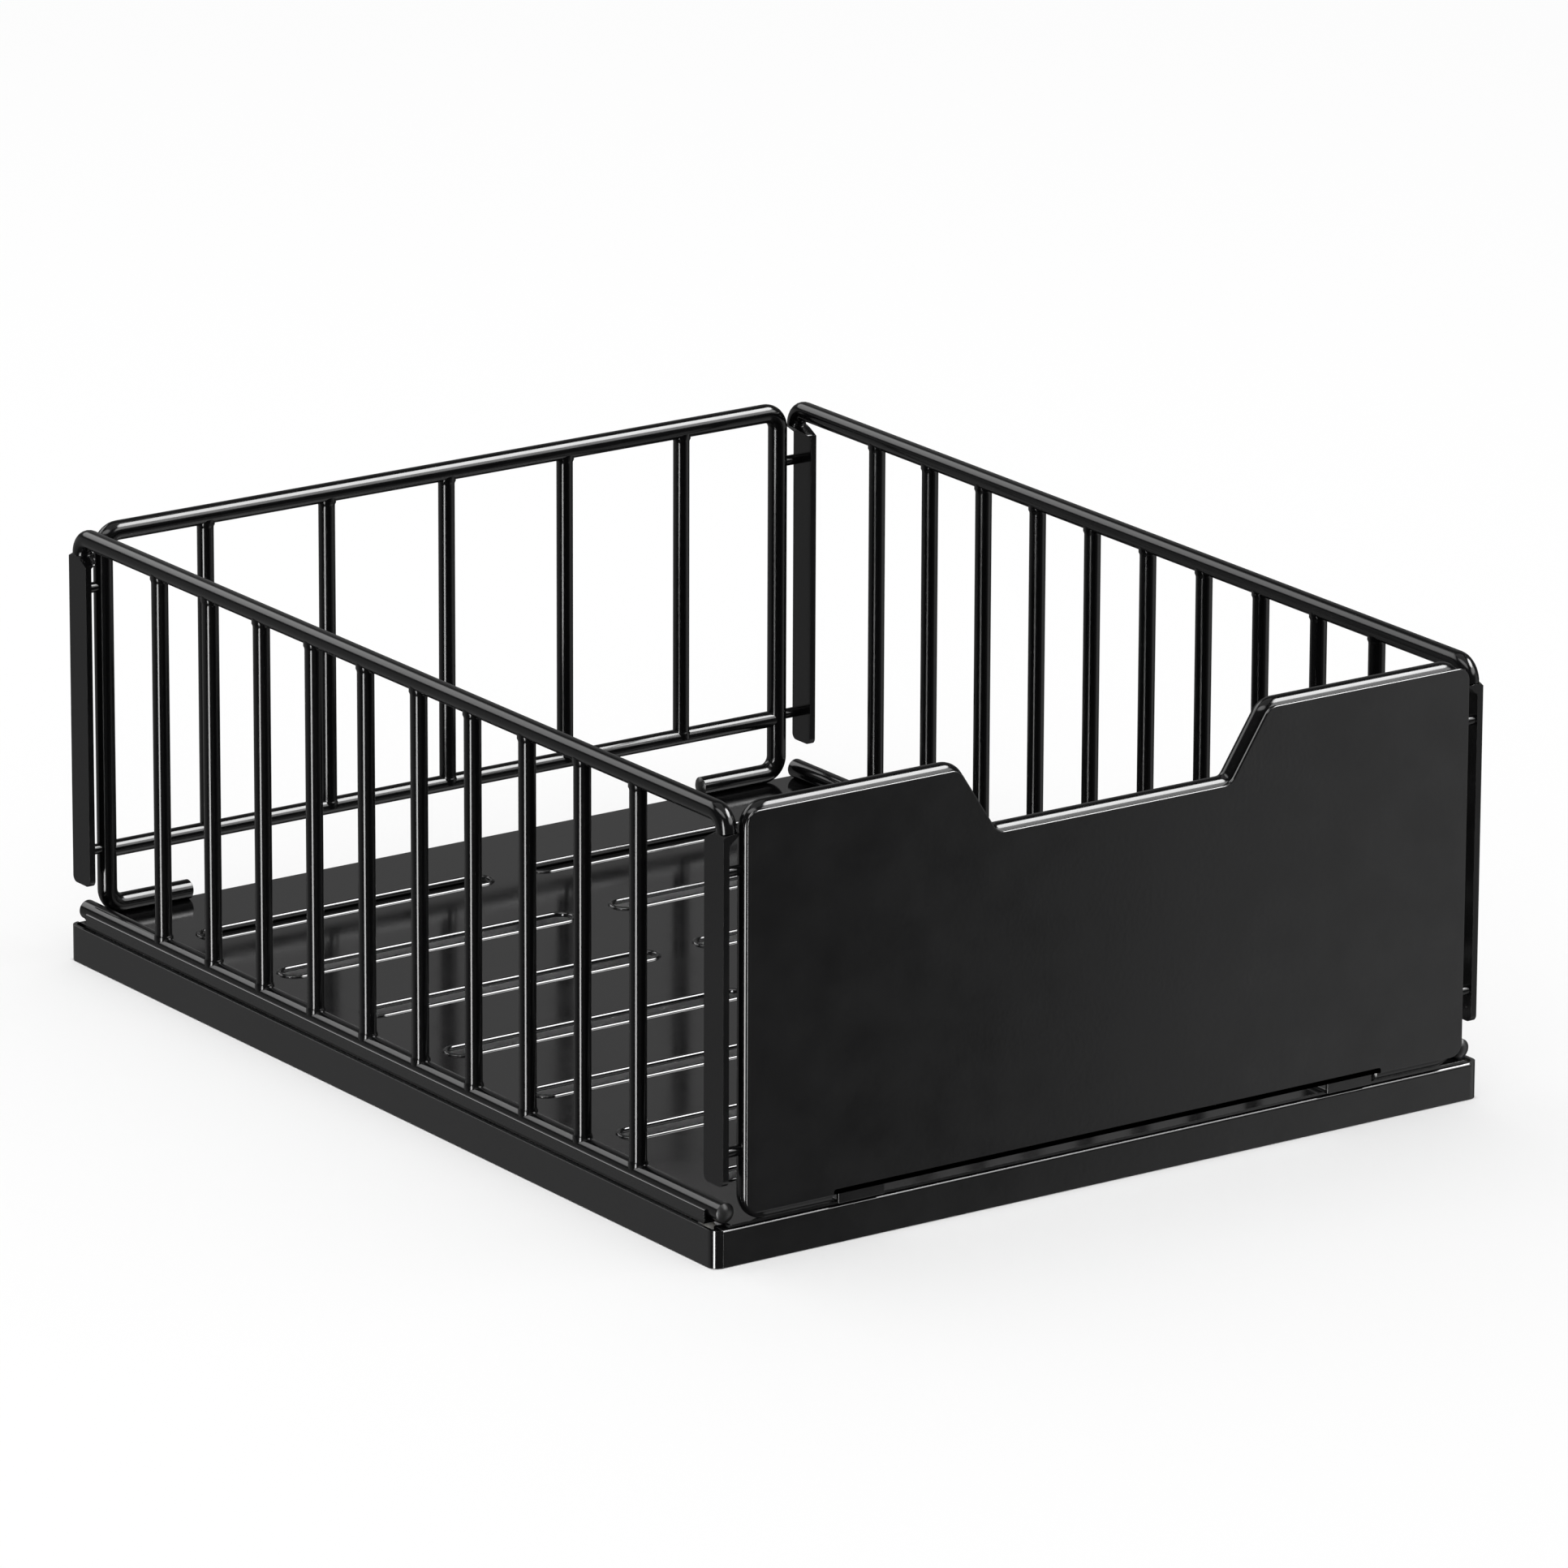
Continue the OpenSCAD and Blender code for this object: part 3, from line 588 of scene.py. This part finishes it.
def roller_form(node):
    """A nylon roller with a crowned tread, rounded rims and a recessed web around its bore."""
    low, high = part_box(node)
    half_w = (high.x - low.x) / 2
    radius = (high.z - low.z) / 2
    web_r = radius * WEB_SHARE
    face_r = radius * FACE_SHARE
    rim_r = radius - ROLLER_RIM
    crown_r = radius - ROLLER_CROWN
    profile = [
        (ROLLER_BORE_R, -half_w + ROLLER_DISH), (web_r, -half_w + ROLLER_DISH), (face_r, -half_w),
        (rim_r, -half_w), (crown_r, -half_w + ROLLER_RIM), (radius, -half_w * TREAD_SHARE),
        (radius, half_w * TREAD_SHARE), (crown_r, half_w - ROLLER_RIM), (rim_r, half_w),
        (face_r, half_w), (web_r, half_w - ROLLER_DISH), (ROLLER_BORE_R, half_w - ROLLER_DISH),
    ]
    mesh = revolve(profile + [profile[0]], ROLLER_SIDES, axis="X")
    mesh.transform(Matrix.Translation((low + high) / 2))
    return mesh


for side in ("left", "right"):
    for end in ("front", "rear"):
        roller = f"{end}_roller_{side}"
        put(roller_form(roller), roller + "_piece", roller, white_nylon, NYLON, roller)

soften("front_roller_pins", "base", zinc, ZINC, EDGE_ROLLER_PIN)
soften("rear_roller_pins", "basket", zinc, ZINC, EDGE_ROLLER_PIN)
soften("bracket_rivets", "basket", tray_black, BLACK, EDGE_BRACKET_RIVET)
for bracket in ("rear_bracket_left", "rear_bracket_right"):
    soften(bracket, "basket", zinc, ZINC, EDGE_RUNNER)


# ---- Tray ----

tray_low, tray_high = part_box("tray")


def on_lip_top(co):
    """On the outer top edge of one of the tray's side lips."""
    return co.z > tray_high.z - NEAR and abs(co.x) > tray_high.x - NEAR


soften("tray", "basket", tray_black, BLACK, EDGE_TRAY, (BEND_TRAY_LIP, on_lip_top))

tray_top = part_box("bottom_rail_left")[0].z
SLOT_ROWS = 7
SLOT_PITCH = 56.4 * MM
SLOT_W = 10 * MM
SLOT_MARGIN = 28.6 * MM
SLOT_BRIDGE = 20 * MM
LIP_R = 1.1 * MM
LIP_SINK = 0.35 * MM
LIP_SIDES = 12
LIP_END_STEPS = 8


def slot_lip(length, width, z):
    """A closed round bead around one slot, lying on the tray, its middle at the origin's X and Y."""
    straight = (length - width) / 2
    reach = width / 2 + LIP_R - LIP_SINK
    path = []
    for end in (1, -1):
        for k in range(LIP_END_STEPS + 1):
            angle = math.pi * (k / LIP_END_STEPS - 0.5)
            out = Vector((math.cos(angle), math.sin(angle))) * end
            path.append((Vector((end * straight, 0)) + out * reach, out))
    form = bmesh.new()
    rings = []
    for place, out in path:
        ring = []
        for k in range(LIP_SIDES):
            angle = 2 * math.pi * k / LIP_SIDES
            at = place + out * LIP_R * math.cos(angle)
            ring.append(form.verts.new((at.x, at.y, z + LIP_R * math.sin(angle))))
        rings.append(ring)
    for i, ring in enumerate(rings):
        after = rings[(i + 1) % len(rings)]
        for k in range(LIP_SIDES):
            form.faces.new((ring[k], after[k], after[(k + 1) % LIP_SIDES], ring[(k + 1) % LIP_SIDES]))
    bmesh.ops.recalc_face_normals(form, faces=form.faces)
    return finished_mesh(form, "lip")


slot_out = tray_high.x - SLOT_MARGIN
slot_l = slot_out - SLOT_BRIDGE / 2
tray_mid_y = (tray_low.y + tray_high.y) / 2
copies(
    "tray_slot_lips",
    slot_lip(slot_l, SLOT_W, tray_top - LIP_SINK),
    [Vector((side * (slot_out - slot_l / 2), tray_mid_y + (i - (SLOT_ROWS - 1) / 2) * SLOT_PITCH, 0))
     for side in (-1, 1) for i in range(SLOT_ROWS)],
    "basket", tray_black, BLACK, "tray",
)


# ---- Side walls ----

low_rail_low, low_rail_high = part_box("bottom_rail_left")
low_rail_z = (low_rail_low.z + low_rail_high.z) / 2
top_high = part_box("top_rail_left")[1]
top_z = top_high.z - TUBE_D / 2


def bar_form(low_z, high_z, diameter):
    """An upright bar with a small weld fillet at each end, standing at the origin's X and Y."""
    radius = diameter / 2
    length = high_z - low_z
    profile = [(0, 0), (radius + WELD_FLARE, 0), (radius + WELD_FLARE, WELD_SEAT)]
    for k in range(1, WELD_STEPS + 1):
        share = k / WELD_STEPS
        profile.append((radius + WELD_FLARE * (1 - share) ** 2, WELD_SEAT + WELD_LENGTH * share))
    tops = [(r, length - h) for r, h in reversed(profile)]
    mesh = revolve(profile + tops, BAR_SIDES)
    mesh.transform(Matrix.Translation((0, 0, low_z)))
    return mesh


def upright_bars(node, name):
    """The bars of one wall, from the boxes of the node's solids."""
    places = solid_boxes(node)
    points = [Vector(((a.x + b.x) / 2, (a.y + b.y) / 2, 0)) for a, b in places]
    low_z = min(a.z for a, b in places) - BAR_OVERLAP
    high_z = max(b.z for a, b in places) + BAR_OVERLAP
    copies(name, bar_form(low_z, high_z, BAR_D), points, "basket", tube_black, BLACK, node)


for side in ("left", "right"):
    low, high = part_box(f"bottom_rail_{side}")
    centre_x = (low.x + high.x) / 2
    tube(
        f"bottom_tube_{side}",
        [(centre_x, low.y, low_rail_z), (centre_x, high.y, low_rail_z)],
        "basket", TUBE_D, f"bottom_rail_{side}",
    )
    low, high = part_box(f"top_rail_{side}")
    front_y, rear_y = low.y + TUBE_D / 2, high.y - TUBE_D / 2
    tube(
        f"top_tube_{side}",
        [(centre_x, front_y, low.z), (centre_x, front_y, top_z),
         (centre_x, rear_y, top_z), (centre_x, rear_y, low.z)],
        "basket", TUBE_D, f"top_rail_{side}",
    )
    upright_bars(f"side_bars_{side}", f"side_bar_set_{side}")
    for end in ("front", "rear"):
        soften(f"post_{end}_{side}", "basket", tube_black, BLACK, EDGE_POST)


# ---- Rear wall ----

rear_low, rear_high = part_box("rear_frame")
rear_y = (rear_low.y + rear_high.y) / 2
rear_leg = rear_high.x - TUBE_D / 2
plug_boxes = solid_boxes("tube_plugs")
PLUG_HEAD = 1.5 * MM
inner_plugs = [b for b in plug_boxes if b[0].x > 0 and b[1].x < rear_leg]
rear_plug = max(inner_plugs, key=lambda b: b[0].y)
rear_foot = rear_plug[0].x + PLUG_HEAD
tube(
    "rear_hoop",
    [(-rear_foot, rear_y, low_rail_z), (-rear_leg, rear_y, low_rail_z), (-rear_leg, rear_y, top_z),
     (rear_leg, rear_y, top_z), (rear_leg, rear_y, low_rail_z), (rear_foot, rear_y, low_rail_z)],
    "basket", TUBE_D, "rear_frame",
)
cross_low, cross_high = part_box("rear_lower_rail")
cross_z = (cross_low.z + cross_high.z) / 2
tube(
    "rear_cross_bar",
    [(cross_low.x - BAR_OVERLAP, rear_y, cross_z), (cross_high.x + BAR_OVERLAP, rear_y, cross_z)],
    "basket", BAR_D, "rear_lower_rail",
)
upright_bars("rear_bars", "rear_bar_set")


# ---- Front wall ----

leg_low, leg_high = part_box("front_leg_right")
front_y = (leg_low.y + leg_high.y) / 2
front_leg = leg_high.x - TUBE_D / 2
front_plug = min(inner_plugs, key=lambda b: b[0].y)
front_foot = front_plug[0].x + PLUG_HEAD
floor_low, floor_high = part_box("notch_floor_rod")
floor_z = (floor_low.z + floor_high.z) / 2
NOTCH_RUN = 17 * MM
NOTCH_DEPTH = top_z - floor_z
MITRE_REACH = TUBE_D / 2 * math.tan(math.atan2(NOTCH_DEPTH, NOTCH_RUN) / 2)
notch_in = floor_high.x - MITRE_REACH
notch_out = notch_in + NOTCH_RUN
tube(
    "front_hoop",
    [(-front_foot, front_y, low_rail_z), (-front_leg, front_y, low_rail_z), (-front_leg, front_y, top_z),
     (-notch_out, front_y, top_z), (-notch_in, front_y, floor_z), (notch_in, front_y, floor_z),
     (notch_out, front_y, top_z), (front_leg, front_y, top_z), (front_leg, front_y, low_rail_z),
     (front_foot, front_y, low_rail_z)],
    "basket", TUBE_D,
    "front_leg_left", "front_leg_right", "notch_side_left", "notch_floor_rod", "notch_side_right",
)


def rounded_outline(points, radii, steps):
    """An outline with each corner made an arc of its own radius."""
    outline = []
    count = len(points)
    for i, (corner, radius) in enumerate(zip(points, radii)):
        before, after = points[i - 1], points[(i + 1) % count]
        u = (corner - before).normalized()
        v = (after - corner).normalized()
        turn = math.atan2(u.x * v.y - u.y * v.x, u.dot(v))
        sign = 1 if turn > 0 else -1
        inward = Vector((-u.y, u.x)) * sign
        centre = corner - u * radius * math.tan(abs(turn) / 2) + inward * radius
        begin = math.atan2(-inward.y, -inward.x)
        for k in range(steps + 1):
            angle = begin + turn * k / steps
            outline.append(centre + radius * Vector((math.cos(angle), math.sin(angle))))
    return outline


panel_low, panel_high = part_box("front_panel")
PANEL_R = 5 * MM
PANEL_ARC_STEPS = 14
NOTCH_R = 6 * MM
PANEL_STEP = 1.9 * MM
PANEL_STEP_IN = 37.8 * MM
STEP_R = 0.5 * MM
PANEL_DROP = top_high.z - panel_high.z
rim_in = TUBE_D / 2 - PANEL_DROP
panel_floor_z = panel_high.z - NOTCH_DEPTH
notch_half = notch_in - rim_in
notch_top = notch_half + NOTCH_RUN


def panel_mesh():
    """The front panel: a flat sheet with rounded corners, a notch for the hand and rolled edges."""
    step_x = panel_high.x - PANEL_STEP_IN
    step_z = panel_low.z + PANEL_STEP
    corners = [
        (panel_low.x, panel_low.z), (-step_x, panel_low.z), (-step_x, step_z), (step_x, step_z),
        (step_x, panel_low.z), (panel_high.x, panel_low.z), (panel_high.x, panel_high.z),
        (notch_top, panel_high.z), (notch_half, panel_floor_z), (-notch_half, panel_floor_z),
        (-notch_top, panel_high.z), (panel_low.x, panel_high.z),
    ]
    radii = [PANEL_R] + [STEP_R] * 4 + [PANEL_R, PANEL_R] + [NOTCH_R] * 4 + [PANEL_R]
    outline = rounded_outline([Vector(c) for c in corners], radii, PANEL_ARC_STEPS)
    form = bmesh.new()
    face = form.faces.new([form.verts.new((p.x, panel_low.y, p.y)) for p in outline])
    grown = bmesh.ops.extrude_face_region(form, geom=[face])
    moved = [g for g in grown["geom"] if isinstance(g, bmesh.types.BMVert)]
    bmesh.ops.translate(form, verts=moved, vec=(0, panel_high.y - panel_low.y, 0))
    bmesh.ops.recalc_face_normals(form, faces=form.faces)
    mesh = finished_mesh(form, "panel")
    return rounded_edges(mesh, "front_panel_mesh", EDGE_PANEL, PANEL_EDGE_STEPS)


put(panel_mesh(), "front_panel_piece", "basket", sheet_black, BLACK, "front_panel")
soften("panel_brackets", "basket", sheet_black, BLACK, EDGE_PANEL_BRACKET)
soften("corner_pins", "basket", tube_black, BLACK, EDGE_CORNER_PIN)
soften("tube_plugs", "basket", black_plastic, PLASTIC, EDGE_PLUG)


# ---- Camera, floor and light ----

PHOTO_W = 1932
FOCAL_PX = 14796.8
SENSOR = 36.0
PITCH = math.radians(17.053)
YAW = math.radians(34.887)
ROLL = math.radians(0.223)
CAMERA_ACROSS = 8.132 * MM
CAMERA_UP = 90.148 * MM
CAMERA_BACK = 4463.2 * MM
CLIP_NEAR = 0.1
CLIP_FAR = 50
base_low, base_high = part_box("base_left_rail")
base_middle = Vector((0, (base_low.y + base_high.y) / 2, 0))


def add_camera():
    """The camera of the photograph, placed from the middle of the base."""
    ahead = Vector((math.sin(YAW) * math.cos(PITCH), math.cos(YAW) * math.cos(PITCH), -math.sin(PITCH)))
    right = Vector((math.cos(YAW), -math.sin(YAW), 0))
    up = right.cross(ahead)
    rolled_right = right * math.cos(ROLL) + up * math.sin(ROLL)
    rolled_up = up * math.cos(ROLL) - right * math.sin(ROLL)
    place = base_middle + rolled_right * CAMERA_ACROSS + rolled_up * CAMERA_UP - ahead * CAMERA_BACK
    data = bpy.data.cameras.new("camera")
    data.sensor_width = SENSOR
    data.lens = SENSOR * FOCAL_PX / PHOTO_W
    data.clip_start = CLIP_NEAR
    data.clip_end = CLIP_FAR
    camera = bpy.data.objects.new("camera", data)
    bpy.context.scene.collection.objects.link(camera)
    turn = Matrix((rolled_right, rolled_up, -ahead)).transposed()
    camera.matrix_world = Matrix.Translation(place) @ turn.to_4x4()
    bpy.context.scene.camera = camera


def number(tree, operation, *values):
    """A Math node on values or outputs."""
    node = tree.nodes.new("ShaderNodeMath")
    node.operation = operation
    for socket, value in zip(node.inputs, values):
        if isinstance(value, (int, float)):
            socket.default_value = value
        else:
            tree.links.new(value, socket)
    return node.outputs["Value"]


def along(tree, direction, axis):
    """How far a direction reaches along an axis."""
    node = tree.nodes.new("ShaderNodeVectorMath")
    node.operation = "DOT_PRODUCT"
    tree.links.new(direction, node.inputs[0])
    node.inputs[1].default_value = axis
    return node.outputs["Value"]


FLOOR_HALF = 9.0
FLOOR_DROP = 0.0002
FLOOR_TONE = 0.96
FLOOR_ROUGH = 0.9

# How far the camera sees the floor around the base as plain white
FLOOR_WHITE = 0.5


def add_floor():
    """A wide pale floor that keeps the soft shadow. Reflections see the room's panels in its place."""
    form = bmesh.new()
    bmesh.ops.create_grid(form, x_segments=1, y_segments=1, size=FLOOR_HALF)
    bmesh.ops.translate(form, verts=form.verts, vec=(0, 0, -FLOOR_DROP))
    mesh = finished_mesh(form, "floor")
    floor = bpy.data.objects.new("floor", mesh)
    bpy.context.scene.collection.objects.link(floor)
    mat, tree, shader = new_material("pale_floor")
    shader.inputs["Base Color"].default_value = (FLOOR_TONE, FLOOR_TONE, FLOOR_TONE, 1)
    shader.inputs["Roughness"].default_value = FLOOR_ROUGH
    shader.inputs["Specular IOR Level"].default_value = 0.0
    path = tree.nodes.new("ShaderNodeLightPath")
    white = tree.nodes.new("ShaderNodeEmission")
    white.inputs["Color"].default_value = (1, 1, 1, 1)
    place = tree.nodes.new("ShaderNodeTexCoord").outputs["Object"]
    beside = number(tree, "GREATER_THAN", number(tree, "ABSOLUTE", along(tree, place, (1, 0, 0))), base_right)
    back = number(tree, "SUBTRACT", along(tree, place, (0, 1, 0)), base_middle.y)
    beyond = number(tree, "GREATER_THAN", number(tree, "ABSOLUTE", back), base_rear - base_middle.y)
    outside = number(tree, "MULTIPLY", number(tree, "MAXIMUM", beside, beyond), FLOOR_WHITE)
    share = number(tree, "MULTIPLY", path.outputs["Is Camera Ray"], outside)
    seen = tree.nodes.new("ShaderNodeMixShader")
    tree.links.new(share, seen.inputs["Fac"])
    tree.links.new(shader.outputs["BSDF"], seen.inputs[1])
    tree.links.new(white.outputs["Emission"], seen.inputs[2])
    clear = tree.nodes.new("ShaderNodeBsdfTransparent")
    mix = tree.nodes.new("ShaderNodeMixShader")
    output = tree.nodes["Material Output"]
    tree.links.new(path.outputs["Is Glossy Ray"], mix.inputs["Fac"])
    tree.links.new(seen.outputs["Shader"], mix.inputs[1])
    tree.links.new(clear.outputs["BSDF"], mix.inputs[2])
    tree.links.new(mix.outputs["Shader"], output.inputs["Surface"])
    mesh.materials.append(mat)


# The grey that lights the scene, and the grey of the room as reflections see it
WORLD_LIGHT = 0.9
ROOM_GREY = 0.1

# The room's panels. Each is an ellipse on the sky, in degrees: its azimuth from +X towards +Y, its height
# above the horizon, its half width, its half height, then the softness of its rim and its brightness.
ROOM_PANELS = [
    (125, -17, 40, 26, 0.45, 0.26),
    (328.1, -17, 20.3, 40, 0.05, 0.72),
    (55, 17, 30, 18, 0.45, 0.14),
    (208, -8, 8, 34, 0.45, 26.0),
    (113, 33, 26, 13, 0.45, 3.5),
    (310, 32, 24, 14, 0.45, 7.0),
    (332, 52, 20, 12, 0.45, 30.0),
    (200, 60, 30, 10, 0.45, 5.0),
]


def room_panel(tree, direction, azimuth, height, half_w, half_h, soft, brightness):
    """The brightness of one soft-edged elliptical panel, seen in a direction."""
    azimuth, height, half_w, half_h = map(math.radians, (azimuth, height, half_w, half_h))
    flat = math.cos(height)
    centre = Vector((math.cos(azimuth) * flat, math.sin(azimuth) * flat, math.sin(height)))
    across = Vector((-math.sin(azimuth), math.cos(azimuth), 0))
    upward = centre.cross(across)
    a = number(tree, "DIVIDE", along(tree, direction, across), math.sin(half_w))
    b = number(tree, "DIVIDE", along(tree, direction, upward), math.sin(half_h))
    away = number(tree, "ADD", number(tree, "MULTIPLY", a, a), number(tree, "MULTIPLY", b, b))
    edge = tree.nodes.new("ShaderNodeMapRange")
    edge.interpolation_type = "SMOOTHSTEP"
    edge.inputs["From Min"].default_value = 1 + soft
    edge.inputs["From Max"].default_value = 1 - soft
    tree.links.new(away, edge.inputs["Value"])
    ahead = number(tree, "GREATER_THAN", along(tree, direction, centre), 0.0)
    return number(tree, "MULTIPLY", number(tree, "MULTIPLY", edge.outputs["Result"], ahead), brightness)


def add_world():
    """White for the camera, plain grey for the light, and a room of soft panels for reflections."""
    world = bpy.data.worlds.new("studio")
    bpy.context.scene.world = world
    world.use_nodes = True
    tree = world.node_tree
    back = tree.nodes["Background"]
    direction = tree.nodes.new("ShaderNodeTexCoord").outputs["Generated"]
    seen = ROOM_GREY
    for panel in ROOM_PANELS:
        seen = number(tree, "ADD", room_panel(tree, direction, *panel), seen)
    path = tree.nodes.new("ShaderNodeLightPath")
    level = WORLD_LIGHT
    for ray, brightness in (("Is Glossy Ray", seen), ("Is Camera Ray", 1.0)):
        mix = tree.nodes.new("ShaderNodeMix")
        mix.data_type = "FLOAT"
        for socket, value in (("A", level), ("B", brightness)):
            if isinstance(value, float):
                mix.inputs[socket].default_value = value
            else:
                tree.links.new(value, mix.inputs[socket])
        tree.links.new(path.outputs[ray], mix.inputs["Factor"])
        level = mix.outputs["Result"]
    tree.links.new(level, back.inputs["Color"])


def add_softbox(name, place, target, width, height, power):
    """A rectangular lamp that faces its target."""
    data = bpy.data.lights.new(name, "AREA")
    data.shape = "RECTANGLE"
    data.size = width
    data.size_y = height
    data.energy = power
    lamp = bpy.data.objects.new(name, data)
    bpy.context.scene.collection.objects.link(lamp)
    lamp.location = place
    lamp.rotation_mode = "QUATERNION"
    lamp.rotation_quaternion = (Vector(target) - Vector(place)).to_track_quat("-Z", "Y")


add_camera()
add_floor()
add_world()
OVERHEAD_PLACE = (-0.2, 0.1, 2.4)
OVERHEAD_TARGET = (0, 0, 0.08)
add_softbox("overhead", OVERHEAD_PLACE, OVERHEAD_TARGET, width=2.6, height=2.0, power=12)

scene = bpy.context.scene
scene.view_settings.view_transform = "Standard"
